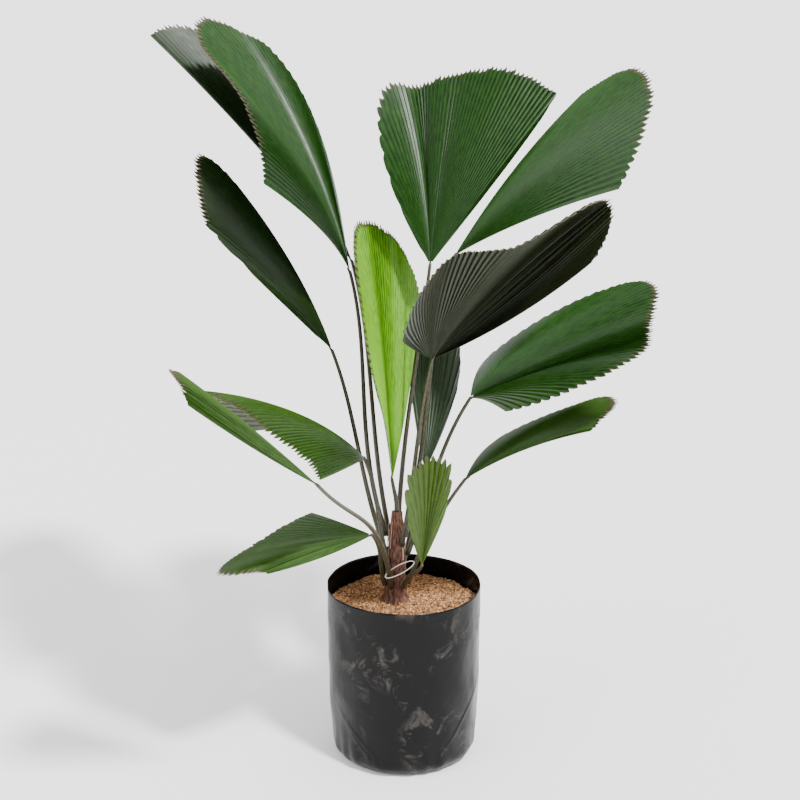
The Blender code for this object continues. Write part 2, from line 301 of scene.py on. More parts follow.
# %% Guide ribs of each leaf
LEAVES = {
    "back_left_low": dict(
        hub=(-0.075, 0.100, 0.730), ribs=[(-87, 49, 0.43), (-48, 45, 0.43), (-27, 37, 0.39)],
        arch=0.02, rounding=(0, 0), leaves_trunk=(-40, 0.095), finish=SHADED),
    "left_high": dict(
        hub=(-0.076, 0.020, 0.736),
        ribs=[(-158, 34, 0.33), (-148, 49, 0.37), (-112, 58, 0.41), (-39, 51, 0.40), (-12, 48, 0.36)],
        arch=0.05, rounding=(0, 0.22), leaves_trunk=(-80, 0.100), finish=DEEP),
    "back_centre": dict(
        hub=(0.038, 0.100, 0.725),
        ribs=[(-136, 55, 0.27), (-13, 55, 0.29), (12, 53, 0.315), (37, 52, 0.33), (58, 44, 0.32)],
        arch=0.03, rounding=(0.22, 0.03), leaves_trunk=(8, 0.105), finish=DEEP),
    "back_right": dict(
        hub=(0.075, 0.120, 0.735), ribs=[(44, 35, 0.34), (87, 44, 0.38), (134, 26, 0.33)],
        arch=0.03, rounding=(0, 0), leaves_trunk=(52, 0.095), finish=DEEP),
    "young_centre": dict(
        hub=(-0.017, 0.000, 0.430),
        ribs=[(-175, 45, 0.25), (-156, 70, 0.32), (-29, 75, 0.38), (1, 67, 0.36), (9, 36, 0.33)],
        arch=0.015, rounding=(0, 0), leaves_trunk=None, finish=YOUNG_WITH_PAINTED_BACKLIGHT),
    "front_right": dict(
        hub=(0.039, -0.090, 0.642),
        ribs=[(128, 35, 0.31), (105, 45, 0.34), (154, 42, 0.33), (177, 41, 0.31), (-171, 22, 0.28)],
        arch=0.03, rounding=(0, 0), leaves_trunk=(150, 0.090), finish=SHADED),
    "right": dict(
        hub=(0.095, 0.000, 0.555),
        ribs=[(10, 3, 0.16), (69, 30, 0.30), (108, 29, 0.30), (120, 22, 0.28), (163, 11, 0.15)],
        arch=0.04, rounding=(0, 0), leaves_trunk=(88, 0.070), finish=DEEP),
    "right_low": dict(
        hub=(0.089, 0.000, 0.431), ribs=[(17, -2, 0.20), (77, 26, 0.25), (118, 29, 0.22)],
        arch=0.04, rounding=(0, 0), leaves_trunk=(98, 0.026), finish=MIDDLE),
    "back_low": dict(
        hub=(0.032, 0.100, 0.408), ribs=[(-12, 42, 0.22), (6, 47, 0.25), (27, 33, 0.22)],
        arch=0.03, rounding=(0.15, 0.3), leaves_trunk=(28, 0.030), finish=SHADED),
    "front_small": dict(
        hub=(0.026, -0.050, 0.316), ribs=[(-151, 59, 0.15), (150, 83, 0.18), (119, 65, 0.16)],
        arch=0.03, rounding=(0.25, 0.25), leaves_trunk=(140, 0.024), finish=OLIVE),
    "left": dict(
        hub=(-0.101, -0.020, 0.632), ribs=[(-134, 44, 0.30), (-112, 55, 0.34), (-39, 46, 0.32)],
        arch=0.04, rounding=(0.1, 0.35), leaves_trunk=(-108, 0.078), finish=SHADED),
    "left_arched": dict(
        hub=(-0.057, -0.040, 0.479),
        ribs=[(-164, 11, 0.20), (-150, 24, 0.25), (-117, 29, 0.27), (-49, -4, 0.24)],
        arch=0.08, rounding=(0, 0), leaves_trunk=(-138, 0.060), finish=MIDDLE),
    "left_narrow": dict(
        hub=(-0.112, -0.310, 0.541), ribs=[(-118, 38, 0.222), (-116, 43, 0.265), (-62, 29, 0.195)],
        arch=0.015, rounding=(0, 0), leaves_trunk=(-160, 0.024), finish=MIDDLE),
    "left_low": dict(
        hub=(-0.046, -0.030, 0.356),
        ribs=[(-131, -2, 0.19), (-122, -3, 0.22), (-80, -16, 0.235), (-59, -13, 0.20), (-41, -3, 0.14)],
        arch=0.03, rounding=(0, 0), leaves_trunk=(-118, 0.026), finish=MIDDLE),
}

# %% The curve through the guide ribs
SMALLEST_ROUND = 0.02
FAN_STEP = 1e-3


def unit(vectors):
    """Vectors brought to length one."""
    return vectors / np.linalg.norm(vectors, axis=-1, keepdims=True)


def direction(azimuth, rise):
    """Unit vector from an azimuth, in degrees from +Y towards +X, and a rise above level."""
    azimuth, rise = np.radians(azimuth), np.radians(rise)
    return np.stack([np.cos(rise) * np.sin(azimuth), np.cos(rise) * np.cos(azimuth), np.sin(rise)], -1)


def through(knots, t):
    """Smooth curve through evenly spaced knots: a parabola for three, a spline for more."""
    knots, t = np.asarray(knots, float), np.asarray(t, float)
    spans = len(knots) - 1
    wide = t.shape + (1,) * (knots.ndim - 1)
    if spans == 2:
        u = t.reshape(wide)
        return (knots[0] * (1 - u) * (1 - 2 * u) + knots[1] * 4 * u * (1 - u)
                + knots[2] * u * (2 * u - 1))
    before = 3 * knots[0] - 3 * knots[1] + knots[2]
    after = 3 * knots[-1] - 3 * knots[-2] + knots[-3]
    longer = np.concatenate([[before], knots, [after]])
    x = np.clip(t * spans, 0, spans)
    i = np.minimum(x.astype(int), spans - 1)
    f = (x - i).reshape(wide)
    start, end = longer[i + 1], longer[i + 2]
    leave, arrive = (longer[i + 2] - longer[i]) / 2, (longer[i + 3] - longer[i + 1]) / 2
    return ((2 * f**3 - 3 * f**2 + 1) * start + (f**3 - 2 * f**2 + f) * leave
            + (3 * f**2 - 2 * f**3) * end + (f**3 - f**2) * arrive)


def quarter_round(x):
    """A quarter circle's rise, from nearly 0 at x = 0 to 1 at x = 1."""
    return np.sqrt(np.clip(1 - (1 - np.clip(x, 0, 1))**2, SMALLEST_ROUND, 1))


def rib_fan(leaf, t):
    """Direction, upward normal and length of the rib at t, from 0 at the left edge to 1."""
    ribs = np.array(leaf["ribs"], float)
    guides = direction(ribs[:, 0], ribs[:, 1])
    along = unit(through(guides, t))
    turn = (unit(through(guides, np.clip(t + FAN_STEP, 0, 1)))
            - unit(through(guides, np.clip(t - FAN_STEP, 0, 1))))
    length = through(ribs[:, 2], t)
    left, right = leaf["rounding"]
    if left:
        length = length * quarter_round(t / left)
    if right:
        length = length * quarter_round((1 - t) / right)
    return along, unit(np.cross(turn, along)), length


middle_rib, _, _ = rib_fan(LEAVES["back_centre"], np.array([0.5]))
print("middle rib of back_centre points along", middle_rib[0].round(2))

# %% [markdown]
# ## Blades
# A blade is folded along its ribs like a paper fan: the midrib of a segment is a valley that
# ends in a tooth, and the joint between two segments is a ridge that ends in a notch. A bump
# map could fake the folds, but they catch the light and shape the margin, so they are real
# here. Across the fan each segment has eight lines, enough for its fold, for a second, finer
# fold and for a sharp tooth. The fold deepens with the distance from the hub, because the same
# number of folds fills a wider and wider fan. Faces are shaded flat, to keep the folds crisp.

# %% Sizes of the pleats
HUB_RADIUS = 0.006
SEGMENT_WIDTH = 0.0125
FEWEST_SEGMENTS = 10
LINES_PER_SEGMENT = 8
ROWS = 26
SHEET = 0.0007
FOLD_RATIO = 0.45
FINE_SHARE = 0.35
TOOTH_DEPTH = 0.009
TOOTH_SPREAD = 0.4
RAGGED = 0.004
EDGE_RATE = 8
RIPPLE_HEIGHT = 0.0012
RIPPLE_RATE = 9
FAR_FROM_EDGE = 0.02
PATTERN_STEP = np.array([7.3, 3.1])
FIRST_LEAF_SEED = 100
print("teeth stand", 1000 * SEGMENT_WIDTH, "mm apart on the longest rib")

# %% Make the blades


def zigzag(x):
    """A straight-sided wave: +1 at whole numbers and -1 half way between them."""
    return np.abs(2 * (x - np.floor(x)) - 1) * 2 - 1


def fan_angle(leaf):
    """How far the ribs turn from the left edge to the right, in radians."""
    along, _, _ = rib_fan(leaf, np.linspace(0, 1, 161))
    return float(np.linalg.norm(np.diff(along, axis=0), axis=1).sum())


def sheet_faces(rows, lines):
    """Quads of an upper grid, of the same grid below it, and of the rim that joins the two."""
    count = rows * lines
    top = grid_quads(rows, lines)
    rim = np.concatenate([
        np.arange(lines), (np.arange(1, rows) + 1) * lines - 1,
        (rows - 1) * lines + np.arange(lines - 2, -1, -1), np.arange(rows - 2, 0, -1) * lines])
    after = np.roll(rim, -1)
    side = np.stack([after, rim, rim + count, after + count], -1)
    return np.concatenate([top, top[:, ::-1] + count, side])


def make_blade(name, leaf, number):
    """Pleated fan: point = hub + radius * rib direction + (arch + fold + ripple) * normal."""
    chance = np.random.default_rng(FIRST_LEAF_SEED + number)
    angle = fan_angle(leaf)
    longest = max(rib[2] for rib in leaf["ribs"])
    segments = max(FEWEST_SEGMENTS, round(angle * longest / SEGMENT_WIDTH))
    lines = segments * LINES_PER_SEGMENT + 1
    t = np.linspace(0, 1, lines)
    along, normal, length = rib_fan(leaf, t)
    place = t * segments
    wave, fine = zigzag(place), zigzag(2 * place)
    fold = (1 - FINE_SHARE) * wave + FINE_SHARE * fine

    # The margin: each segment has its own tooth depth and its own slight shortness.
    segment = np.minimum(place.astype(int), segments - 1)
    inset = np.clip(np.minimum(t, 1 - t) * EDGE_RATE, 0, 1)
    tooth = TOOTH_DEPTH * (1 - TOOTH_SPREAD / 2 + TOOTH_SPREAD * chance.random(segments))[segment]
    reach = length - tooth * inset * (0.5 + 0.5 * wave)
    reach = reach - RAGGED * inset * chance.random(segments)[segment]

    # The surface: rows of points from the hub to the margin, bowed and folded.
    radius = HUB_RADIUS + np.linspace(0, 1, ROWS)[:, None] * (reach - HUB_RADIUS)
    part = radius / length
    bow = length * leaf["arch"] * 4 * part * (1 - part)
    fold_height = FOLD_RATIO * radius * angle / segments * 0.5
    edge_fade = np.clip(np.minimum(place, segments - place), 0, 1)
    ripple = RIPPLE_HEIGHT * np.sin(RIPPLE_RATE * t * angle + number) * (radius / longest)**2
    lift = bow + fold * fold_height * edge_fade + ripple
    middle = np.array(leaf["hub"]) + radius[..., None] * along + lift[..., None] * normal
    upper = (middle + 0.5 * SHEET * normal).reshape(-1, 3)
    lower = (middle - 0.5 * SHEET * normal).reshape(-1, 3)

    count = ROWS * lines
    uv = np.stack([np.broadcast_to(place, radius.shape), radius / UV_LENGTH], -1).reshape(-1, 2)
    uv = uv + number * PATTERN_STEP
    edge = (reach - radius) + FAR_FROM_EDGE * (1 - inset)
    # The crest mark also drives the painted highlight on crests and the painted shade in valleys.
    crest = np.broadcast_to(0.5 * wave + 0.5 * fine, radius.shape)
    marks = {
        "under": np.concatenate([np.zeros(count), np.ones(count)]),
        "edge": np.tile(edge.ravel(), 2),
        "crest": np.tile(crest.ravel(), 2),
    }
    piece = mesh_piece("leaf_blade_" + name, np.concatenate([upper, lower]), sheet_faces(ROWS, lines),
                       np.tile(uv, (2, 1)), smooth=False, marks=marks)
    piece.data.materials.append(leaf["finish"])
    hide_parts("blade_" + name)
    return segments


for order, (leaf_name, leaf_data) in enumerate(LEAVES.items()):
    print(leaf_name, make_blade(leaf_name, leaf_data, order), "segments")

# %% [markdown]
# ## Stalk and trunk finishes
# The stalks are smooth, nearly black-brown with olive streaks. The trunk is wrapped in
# red-brown fibre, with pale papery strips. A wood or bark image would need its own UV layout.
# The shared streaks already run along each tube, so two colours mixed by them are enough, and
# the same streaks serve as a bump.

# %% Stalk and trunk materials
FIBRE_RANGE = (0.40, 0.62)


def streaked_material(name, dark, light, roughness, across, along, relief):
    """Two colours mixed by streaks that run along the piece, with a bump of the same streaks."""
    made, tree, shader = new_material(name, roughness)
    streak = streaks(tree, across, along)["Streak"]
    colour = mix_colour(tree, ramp(tree, streak, *FIBRE_RANGE), dark, light)
    tree.links.new(colour, shader.inputs["Base Color"])
    add_bump(tree, shader, streak, strength=0.8, distance=relief)
    return made


STALK = streaked_material("stalk skin", (0.020, 0.016, 0.008), (0.055, 0.050, 0.018),
                          roughness=0.45, across=8, along=6, relief=0.0003)
FIBRE = streaked_material("trunk fibre", (0.040, 0.016, 0.010), (0.200, 0.085, 0.050),
                          roughness=0.85, across=30, along=5, relief=0.0012)
PAPER = streaked_material("papery sheath edge", (0.35, 0.20, 0.14), (0.62, 0.46, 0.36),
                          roughness=0.8, across=10, along=6, relief=0.0005)
print("stalk and trunk finishes:", [made.name for made in (STALK, FIBRE, PAPER)])

# %% [markdown]
# ## Stalks
# A leaf stalk leaves the trunk steeply, bends outward under the leaf's weight and runs into the
# hub along the blade's middle. Blender's curve objects can carry a tube too. Here the tube is a
# mesh round a cubic curve, so that its taper and its UV are plain to read. It is thickest at
# the foot and ends in a short point inside the first ribs of the blade.

# %% Where the trunk is
MEDIUM_TOP = 0.2403
TRUNK_FOOT = np.array([-0.012, 0.006])
TRUNK_HEAD = np.array([-0.010, 0.004])
TRUNK_HEIGHTS = (0.0, 0.008, 0.025, 0.070, 0.115, 0.140)
TRUNK_RADII = (0.021, 0.0165, 0.0145, 0.0130, 0.0100, 0.0075)
TRUNK_HEIGHT = TRUNK_HEIGHTS[-1]


def trunk_at(height):
    """Centre and radius of the trunk at a height above its foot."""
    centre = TRUNK_FOOT + height / TRUNK_HEIGHT * (TRUNK_HEAD - TRUNK_FOOT)
    return centre, np.interp(height, TRUNK_HEIGHTS, TRUNK_RADII)


print("trunk radius half way up", trunk_at(TRUNK_HEIGHT / 2)[1].round(4))

# %% Make the stalks
STALK_FOOT_RADIUS = 0.0038
STALK_TIP_RADIUS = 0.0024
STALK_POINT_RADIUS = 0.0009
STALK_SEAT = 0.0002
STALK_OVERSHOOT = 0.002
STALK_STEPS = 40
STALK_SIDES = 14
OUTWARD_LEAN = 0.35
BLADE_LEAN = 0.4
FIRST_HANDLE = 0.38
LAST_HANDLE = 0.33
SIDEWAYS = np.array([0.31, 0.9, 0.11])
UP = np.array([0.0, 0.0, 1.0])


def stalk_path(leaf):
    """Cubic curve from the trunk's side, or its head, to the leaf's hub and a little past it."""
    along, _, _ = rib_fan(leaf, np.array([0.5]))
    hub = np.array(leaf["hub"])
    if leaf["leaves_trunk"] is None:
        centre, _ = trunk_at(TRUNK_HEIGHT)
        start = np.array([*centre, MEDIUM_TOP + TRUNK_HEIGHT])
        leave = UP
    else:
        azimuth, height = leaf["leaves_trunk"]
        outward = direction(azimuth, 0)
        centre, radius = trunk_at(height)
        stand_off = radius + STALK_FOOT_RADIUS - STALK_SEAT
        start = np.array([*centre, MEDIUM_TOP + height]) + stand_off * outward
        leave = unit(outward * OUTWARD_LEAN + UP)
    span = np.linalg.norm(hub - start)
    arrive = unit(unit(hub - start) + BLADE_LEAN * along[0])
    first = start + FIRST_HANDLE * span * leave
    second = hub - LAST_HANDLE * span * arrive
    u = np.linspace(0, 1, STALK_STEPS)[:, None]
    path = (1 - u)**3 * start + 3 * u * (1 - u)**2 * first + 3 * u**2 * (1 - u) * second + u**3 * hub
    return np.concatenate([path, [hub + along[0] * (HUB_RADIUS + STALK_OVERSHOOT)]])


def tube(path, radii, sides):
    """Rings round a path, each square to it: point = path + radius * (cos * side + sin * other)."""
    tangent = unit(np.gradient(path, axis=0))
    side = unit(np.cross(tangent, SIDEWAYS))
    other = np.cross(tangent, side)
    angle = np.linspace(0, 2 * np.pi, sides, endpoint=False)
    ring = np.cos(angle)[:, None] * side[:, None] + np.sin(angle)[:, None] * other[:, None]
    points = (path[:, None] + np.asarray(radii)[:, None, None] * ring).reshape(-1, 3)
    lengths = np.concatenate([[0], np.cumsum(np.linalg.norm(np.diff(path, axis=0), axis=1))])
    v, u = np.meshgrid(lengths / UV_LENGTH, angle / (2 * np.pi), indexing="ij")
    return points, capped_rings(len(path), sides), np.stack([u, v], -1).reshape(-1, 2)


def make_stalk(name, leaf):
    """One stalk that tapers from its foot to the hub and ends in a point; gives its length."""
    path = stalk_path(leaf)
    radii = np.append(np.linspace(STALK_FOOT_RADIUS, STALK_TIP_RADIUS, STALK_STEPS), STALK_POINT_RADIUS)
    points, faces, uv = tube(path, radii, STALK_SIDES)
    piece = mesh_piece("stalk_" + name, points, faces, uv)
    piece.data.materials.append(STALK)
    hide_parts("petiole_" + name)
    return np.linalg.norm(np.diff(path, axis=0), axis=1).sum()


for leaf_name, leaf_data in LEAVES.items():
    print(leaf_name, "stalk is", make_stalk(leaf_name, leaf_data).round(3), "m long")

# %% [markdown]
# ## Trunk
# The short trunk is a bundle of old leaf bases wrapped in fibre. A plain turned form would look
# like a peg. So the radius of a turned profile swells and sinks round the axis, which shows the
# bases as slanted ribs, with fine ridges of fibre and faint rings over them. Loose strips of
# papery sheath are separate ribbons that stand a little off it.

# %% Make the trunk
TRUNK_SIDES = 160
TRUNK_ROWS = 90
TRUNK_SUNK = 0.001


def make_trunk():
    """radius = profile(height) * (0.985 + slanted ribs + fine fibre ridges + faint rings)."""
    height = np.linspace(0, TRUNK_HEIGHT, TRUNK_ROWS)
    angle = np.linspace(0, 2 * np.pi, TRUNK_SIDES, endpoint=False)
    z, a = np.meshgrid(height, angle, indexing="ij")
    ribs = 0.10 * np.abs(np.sin(3.5 * a + 14 * z)) - 0.06
    fibre = 0.02 * np.sin(41 * a + 60 * z) + 0.015 * np.sin(67 * a - 90 * z)
    rings = 0.02 * np.sin(420 * z + 3 * np.sin(2 * a))
    profile = np.interp(height, TRUNK_HEIGHTS, TRUNK_RADII)[:, None]
    radius = profile * (0.985 + ribs + fibre + rings)
    centre = TRUNK_FOOT + (z / TRUNK_HEIGHT)[..., None] * (TRUNK_HEAD - TRUNK_FOOT)
    points = np.stack([centre[..., 0] + radius * np.cos(a), centre[..., 1] + radius * np.sin(a),
                       MEDIUM_TOP - TRUNK_SUNK + z], -1).reshape(-1, 3)
    uv = np.stack([a / (2 * np.pi), z / UV_LENGTH], -1).reshape(-1, 2)
    piece = mesh_piece("fibrous_trunk", points, capped_rings(TRUNK_ROWS, TRUNK_SIDES), uv)
    piece.data.materials.append(FIBRE)
    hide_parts("trunk")
    return radius


trunk_radius = make_trunk()
print("trunk radius from", trunk_radius.min().round(4), "to", trunk_radius.max().round(4))

# %% Papery strips
STRIPS = 26
STRIP_ROWS = 12
STRIP_THICKNESS = 0.0004
STRIP_FIRST_HEIGHT = (0.02, 0.09)
STRIP_LENGTH = (0.02, 0.05)
STRIP_WIDTH = (0.0012, 0.0035)
STRIP_STAND_OFF = 0.0012
STRIP_PEEL = 0.004
STRIP_TWIST = 0.25
STRIP_TAPER = 0.7


def make_sheath_strips():
    """Ribbons up the trunk: radius = profile + stand-off + peel * share**3, narrowing upward."""
    chance = np.random.default_rng(7)
    points, faces, uv = [], [], []
    u = np.linspace(0, 1, STRIP_ROWS)
    for _ in range(STRIPS):
        azimuth = chance.uniform(0, 2 * np.pi)
        low = chance.uniform(*STRIP_FIRST_HEIGHT)
        tall = chance.uniform(*STRIP_LENGTH)
        wide = chance.uniform(*STRIP_WIDTH)
        z = low + tall * u
        centre, _ = trunk_at(low)
        profile = np.interp(z, TRUNK_HEIGHTS, TRUNK_RADII)
        r = profile + STRIP_STAND_OFF + STRIP_PEEL * u**3 * chance.random()
        turn = azimuth + STRIP_TWIST * u * chance.uniform(-1, 1)
        half = 0.5 * wide * (1 - STRIP_TAPER * u) / r
        start = len(points) * STRIP_ROWS
        for edge in (-1, 1):
            points.append(np.stack([centre[0] + r * np.cos(turn + edge * half),
                                    centre[1] + r * np.sin(turn + edge * half),
                                    MEDIUM_TOP + z], -1))
            uv.append(np.stack([np.full(STRIP_ROWS, 0.05 * edge + azimuth), z / UV_LENGTH], -1))
        k = start + np.arange(STRIP_ROWS - 1)
        faces.append(np.stack([k, STRIP_ROWS + k, STRIP_ROWS + k + 1, k + 1], -1))
    piece = mesh_piece("sheath_strips", np.concatenate(points), np.concatenate(faces), np.concatenate(uv))
    thick = piece.modifiers.new("paper", "SOLIDIFY")
    thick.thickness = STRIP_THICKNESS
    piece.data.materials.append(PAPER)


make_sheath_strips()
print(STRIPS, "papery strips made")

# %% [markdown]
# ## Growing medium
# The bag is filled with chopped coconut fibre, in chips of a few millimetres. A particle system
# could scatter them, but then they wouldn't be one plain mesh. So a low heap carries several
# thousand flattened blocks, each with its own corners pushed in and its own turn, all made in
# one set of arrays and joined. One mark for each block gives its tone.

# %% Coir finish
CHIP_DARK = (0.11, 0.045, 0.018)
CHIP_MIDDLE = (0.42, 0.20, 0.075)
CHIP_PALE = (0.66, 0.40, 0.20)
CHIP_TURN = 0.6


def coir_material():
    """Dark, middling and pale chips, by the tone that is stored on each."""
    made, tree, shader = new_material("coir", 0.95)
    tone = marked(tree, "tone")
    colour = mix_colour(tree, ramp(tree, tone, 0.0, CHIP_TURN), CHIP_DARK, CHIP_MIDDLE)
    colour = mix_colour(tree, ramp(tree, tone, CHIP_TURN, 1.0), colour, CHIP_PALE)
    tree.links.new(colour, shader.inputs["Base Color"])
    return made


COIR = coir_material()
print("finish made:", COIR.name)

# %% The heap
BAG_RADIUS = 0.113
HEAP_TOP = 0.2385
HEAP_DROP = 0.006
HEAP_CLEARANCE = 0.0035
HEAP_CORE = 0.002
HEAP_UNDERSIDE = 0.17
HEAP_RINGS = 40
HEAP_SPOKES = 96
LEVEL_RADIUS = 0.03


def heap_height(x, y):
    """Height = top - drop * (radius / bag radius)**2 + soft lumps, none of them at the middle."""
    r = np.hypot(x, y)
    lumps = 0.0016 * np.sin(61 * x + 1.3) * np.sin(53 * y) + 0.0012 * np.sin(97 * x - 71 * y)
    return HEAP_TOP - HEAP_DROP * (r / BAG_RADIUS)**2 + lumps * np.clip(r / LEVEL_RADIUS, 0, 1)


def make_heap():
    """Disc of rings and spokes at the heap's height, with a skirt down to a flat underside."""
    r = np.linspace(HEAP_CORE, BAG_RADIUS - HEAP_CLEARANCE, HEAP_RINGS)
    a = np.linspace(0, 2 * np.pi, HEAP_SPOKES, endpoint=False)
    rr, aa = np.meshgrid(r, a, indexing="ij")
    x, y = rr * np.cos(aa), rr * np.sin(aa)
    top = np.stack([x, y, heap_height(x, y)], -1)
    skirt = top[-1:].copy()
    skirt[..., 2] = HEAP_UNDERSIDE
    points = np.concatenate([top, skirt]).reshape(-1, 3)
    faces = [face[::-1] for face in capped_rings(HEAP_RINGS + 1, HEAP_SPOKES)]
    tone = 0.12 + 0.2 * np.random.default_rng(3).random(len(points))
    piece = mesh_piece("coir_heap", points, faces, marks={"tone": tone})
    piece.data.materials.append(COIR)
    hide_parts("growing_medium")
    return top[..., 2]


heap = make_heap()
print("heap from", heap.min().round(4), "to", heap.max().round(4))

# %% The chips
CHIPS = 7000
CHIP_CLEARANCE = 0.004
CHIP_LIFT = 0.0018
TRUNK_CLEARANCE = 0.016
CHIP_HALF_SIZES = ((0.0010, 0.0028), (0.0007, 0.0016), (0.0004, 0.0010))
CHIP_LEAN = 0.35
BLOCK_CORNERS = np.array([[x, y, z] for x in (-1, 1) for y in (-1, 1) for z in (-1, 1)], float)
BLOCK_FACES = np.array([[0, 1, 3, 2], [4, 6, 7, 5], [0, 4, 5, 1], [2, 3, 7, 6], [0, 2, 6, 4], [1, 5, 7, 3]])


def turned_by(quarter):
    """Turning matrices, one for each unit quaternion (x, y, z, w)."""
    x, y, z, w = quarter.T
    return np.stack([
        np.stack([1 - 2 * (y**2 + z**2), 2 * (x * y - z * w), 2 * (x * z + y * w)], -1),
        np.stack([2 * (x * y + z * w), 1 - 2 * (x**2 + z**2), 2 * (y * z - x * w)], -1),
        np.stack([2 * (x * z - y * w), 2 * (y * z + x * w), 1 - 2 * (x**2 + y**2)], -1)], 1)


def make_chips():
    """Corner = place on the heap + turn * (half size * corner sign * a random shrink)."""
    chance = np.random.default_rng(11)
    r = (BAG_RADIUS - CHIP_CLEARANCE) * np.sqrt(chance.random(CHIPS))
    a = chance.uniform(0, 2 * np.pi, CHIPS)
    x, y = r * np.cos(a), r * np.sin(a)
    free = np.hypot(x - TRUNK_FOOT[0], y - TRUNK_FOOT[1]) > TRUNK_CLEARANCE
    x, y = x[free], y[free]
    number = len(x)
    size = np.stack([chance.uniform(*sizes, number) for sizes in CHIP_HALF_SIZES], -1)
    shape = BLOCK_CORNERS[None] * size[:, None] * chance.uniform(0.7, 1.0, (number, 8, 3))
    lean = chance.normal(0, CHIP_LEAN, (number, 2))
    spin = chance.normal(0, 1, (number, 2))
    turn = turned_by(unit(np.concatenate([lean, spin], -1)))
    place = np.stack([x, y, heap_height(x, y) + chance.uniform(0.0, CHIP_LIFT, number)], -1)
    points = (np.einsum("nij,nkj->nki", turn, shape) + place[:, None]).reshape(-1, 3)
    faces = (BLOCK_FACES[None] + 8 * np.arange(number)[:, None, None]).reshape(-1, 4)
    tone = np.repeat(chance.random(number), 8)
    piece = mesh_piece("coir_chips", points, faces, smooth=False, marks={"tone": tone})
    piece.data.materials.append(COIR)
    return number


print(make_chips(), "chips made")

# %% [markdown]
# ## Bag
# The bag is a tube of black film with a rounded foot. Film never stands perfectly round: it
# has sharp folds that run in many directions, a few long diagonal creases, and gathers at the
# foot. A cloth simulation could crumple it, but its result can't be written as a formula. So
# folds of random direction are added to a turned profile. Dust and scuffs lie on the film as
# grey-brown smears, duller than the film itself.

# %% Film finish
FILM_ROUGHNESS = (0.24, 0.75)
FILM_SPECULAR = 0.16
FILM_BLACK = (0.0012, 0.0012, 0.0013)
FILM_SCUFF = (0.075, 0.066, 0.058)
SCUFF_RANGE = (0.53, 0.70)
PATCH_RANGE = (0.46, 0.62)


def noise(tree, place, scale, detail):
    """A noise texture node of a place."""
    node = tree.nodes.new("ShaderNodeTexNoise")
    node.inputs["Scale"].default_value = scale
    node.inputs["Detail"].default_value = detail
    tree.links.new(place, node.inputs["Vector"])
    return node


def film_material():
    """Glossy black film with dull grey scuffs where a fine and a coarse noise are both high."""
    made, tree, shader = new_material("black film", FILM_ROUGHNESS[0], FILM_SPECULAR)
    place = tree.nodes.new("ShaderNodeTexCoord").outputs["Object"]
    scuff = noise(tree, place, scale=32.0, detail=8.0)
    scuff.inputs["Roughness"].default_value = 0.7
    scuff.inputs["Distortion"].default_value = 0.6
    patch = noise(tree, place, scale=11.0, detail=2.0)
    both = tree.nodes.new("ShaderNodeMath")
    both.operation = "MULTIPLY"
    tree.links.new(ramp(tree, scuff.outputs["Fac"], *SCUFF_RANGE), both.inputs[0])
    tree.links.new(ramp(tree, patch.outputs["Fac"], *PATCH_RANGE), both.inputs[1])
    scuffed = both.outputs["Value"]
    tree.links.new(mix_colour(tree, scuffed, FILM_BLACK, FILM_SCUFF), shader.inputs["Base Color"])
    tree.links.new(ramp(tree, scuffed, 0.0, 1.0, *FILM_ROUGHNESS), shader.inputs["Roughness"])
    add_bump(tree, shader, scuff.outputs["Fac"], strength=0.5, distance=0.0010)
    return made


FILM = film_material()
print("finish made:", FILM.name)

# %% Folds and creases of the film
FOLDS = 34
MOST_FOLDS_ROUND = 22
FOLD_SLANT = 55
FOLD_SIZE = 0.0016
CREASE_DEPTH = 0.0014
CREASE_HALF_WIDTH = 0.0022
CREASE_CENTRE = 0.25
CREASE_HALF_LENGTH = 0.35
# A crease is (angle where it starts, height gained for each radian, height at its start).
CREASES = ((-2.45, -0.09, 0.075), (-2.35, -0.10, 0.058), (-0.9, 0.12, 0.05), (0.6, -0.1, 0.07),
           (2.2, 0.11, 0.06))
GATHER_DEPTH = 0.0013
GATHER_HEIGHT = 0.03
DEEPEST_RELIEF = -0.0014
HIGHEST_RELIEF = 0.0026


def film_relief(angle, height):
    """Sum of ridges size * (0.63 - |sin|) in many directions, of bell-shaped creases and gathers."""
    chance = np.random.default_rng(5)
    relief = np.zeros_like(angle)
    for _ in range(FOLDS):
        around = int(chance.integers(1, MOST_FOLDS_ROUND))
        upward = chance.normal(0, FOLD_SLANT)
        size = FOLD_SIZE / (2 + 0.35 * around)
        ridge = np.abs(np.sin(0.5 * (around * angle + upward * height) + chance.uniform(0, 6.28)))
        patches = angle * int(chance.integers(1, 4)) + chance.uniform(0, 6.28) + 9 * height
        relief = relief + size * (0.63 - ridge) * (0.5 + 0.5 * np.sin(patches))
    for start, slope, level in CREASES:
        across = (height - level - slope * (angle - start)) / CREASE_HALF_WIDTH
        beside = (angle - start - CREASE_CENTRE) / CREASE_HALF_LENGTH
        relief = relief + CREASE_DEPTH * np.exp(-across**2) * np.exp(-beside**2)
    gathers = np.sin(19 * angle + 2 * np.sin(5 * angle))
    relief = relief + GATHER_DEPTH * np.exp(-height / GATHER_HEIGHT) * gathers
    return np.clip(relief, DEEPEST_RELIEF, HIGHEST_RELIEF)


print("relief at the front, half way up:", film_relief(np.array([-1.57]), np.array([0.13])).round(5))

# %% Make the bag
BAG_HEIGHT = 0.267
BAG_WALL = 0.0008
BAG_FOOT_RADIUS = 0.107
BAG_CORNER = 0.022
BAG_CORE = 0.002
WALL_START = 0.03
WALL_HEIGHTS = (BAG_CORNER, 0.11, 0.21, BAG_HEIGHT)
WALL_RADII = (BAG_FOOT_RADIUS, 0.1115, BAG_RADIUS, BAG_RADIUS)
BASE_ROWS = 12
CORNER_ROWS = 9
WALL_ROWS = 70
BAG_SIDES = 384
RELIEF_START = 0.012
RIM_START = 0.24
RIM_WAVE = 0.0012


